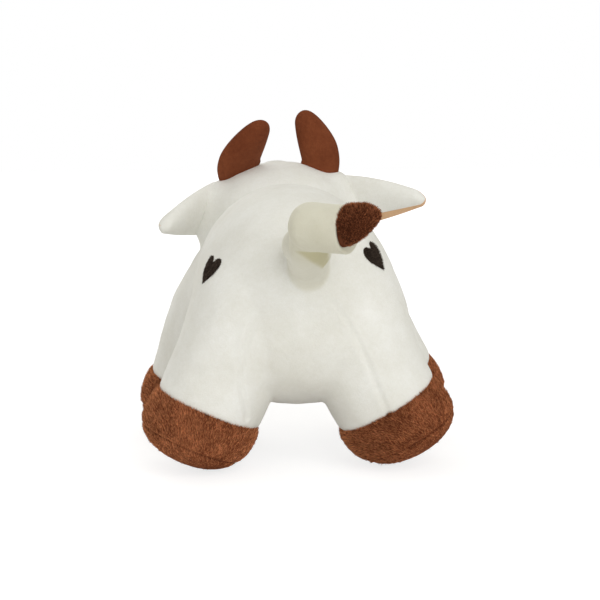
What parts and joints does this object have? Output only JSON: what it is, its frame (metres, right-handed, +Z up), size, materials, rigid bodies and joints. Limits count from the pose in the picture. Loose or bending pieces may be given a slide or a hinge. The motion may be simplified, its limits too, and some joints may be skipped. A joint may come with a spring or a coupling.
{
  "type": "plush cow",
  "caption": "Stuffed cow soft toy standing on splayed legs, with hoof caps, heart patches on its flanks, and a head, horns, ears and tail that flex at their seams.",
  "frame": {"origin": "on the floor, under the middle of the toy's box", "axes": "+Z up, -Y the way the face looks, +X the toy's own left"},
  "size_m": [0.2248, 0.3368, 0.2484],
  "materials": {
    "cream_plush": "short dense pile",
    "brown_plush": "short brushed pile",
    "horn_plush": "smooth short pile",
    "tan_plush": "smooth short pile",
    "dark_felt": "felt",
    "eye_plastic": "polished",
    "washer_plastic": "moulded",
    "fibre_filling": "loose fibre"
  },
  "bodies": {
    "torso": {"body_skin": "cream_plush", "body_filling": "fibre_filling", "leg_front_left": "cream_plush", "hoof_front_left": "brown_plush", "sole_front_left": "brown_plush", "leg_front_right": "cream_plush", "hoof_front_right": "brown_plush", "sole_front_right": "brown_plush", "leg_rear_left": "cream_plush", "hoof_rear_left": "brown_plush", "sole_rear_left": "brown_plush", "leg_rear_right": "cream_plush", "hoof_rear_right": "brown_plush", "sole_rear_right": "brown_plush", "heart_patch_left": "dark_felt", "heart_patch_right": "dark_felt"},
    "tail_root": {"tail_base": "cream_plush"},
    "tail": {"tail": "cream_plush", "tail_tip": "brown_plush"},
    "head": {"head_skin": "cream_plush", "head_filling": "fibre_filling", "muzzle": "tan_plush", "forelock": "cream_plush", "eye_left": "eye_plastic", "eye_washer_left": "washer_plastic", "nostril_left": "dark_felt", "eye_right": "eye_plastic", "eye_washer_right": "washer_plastic", "nostril_right": "dark_felt"},
    "horn_left": {"horn_left": "horn_plush"},
    "horn_right": {"horn_right": "horn_plush"},
    "ear_left": {"ear_left": "cream_plush", "ear_lining_left": "tan_plush"},
    "ear_right": {"ear_right": "cream_plush", "ear_lining_right": "tan_plush"}
  },
  "joints": [
    {"name": "head_nod", "type": "hinge", "parent": "torso", "child": "head", "pos_m": [0.00386, -0.07094, 0.1255], "axis": [1, 0, 0], "range_deg": [-8, 8], "stiffness_Nm_per_rad": 3},
    {"name": "tail_lift", "type": "hinge", "parent": "torso", "child": "tail_root", "pos_m": [0.00386, 0.09806, 0.152], "axis": [1, 0, 0], "range_deg": [-10, 15], "stiffness_Nm_per_rad": 0.3},
    {"name": "tail_wag", "type": "hinge", "parent": "tail_root", "child": "tail", "pos_m": [0.00386, 0.09806, 0.152], "axis": [0, 0, 1], "range_deg": [-20, 20], "stiffness_Nm_per_rad": 0.3},
    {"name": "horn_left_flex", "type": "hinge", "parent": "head", "child": "horn_left", "pos_m": [0.03586, -0.09194, 0.20019], "axis": [0.891, 0, -0.454], "range_deg": [-12, 12], "stiffness_Nm_per_rad": 0.1},
    {"name": "horn_right_flex", "type": "hinge", "parent": "head", "child": "horn_right", "pos_m": [-0.02814, -0.09194, 0.20019], "axis": [0.891, 0, 0.454], "range_deg": [-12, 12], "stiffness_Nm_per_rad": 0.1},
    {"name": "ear_left_flap", "type": "hinge", "parent": "head", "child": "ear_left", "pos_m": [0.06355, -0.09394, 0.171], "axis": [-0.2924, 0, 0.9563], "range_deg": [-15, 20], "stiffness_Nm_per_rad": 0.1},
    {"name": "ear_right_flap", "type": "hinge", "parent": "head", "child": "ear_right", "pos_m": [-0.05583, -0.09394, 0.171], "axis": [-0.2924, 0, -0.9563], "range_deg": [-15, 20], "stiffness_Nm_per_rad": 0.1}
  ]
}
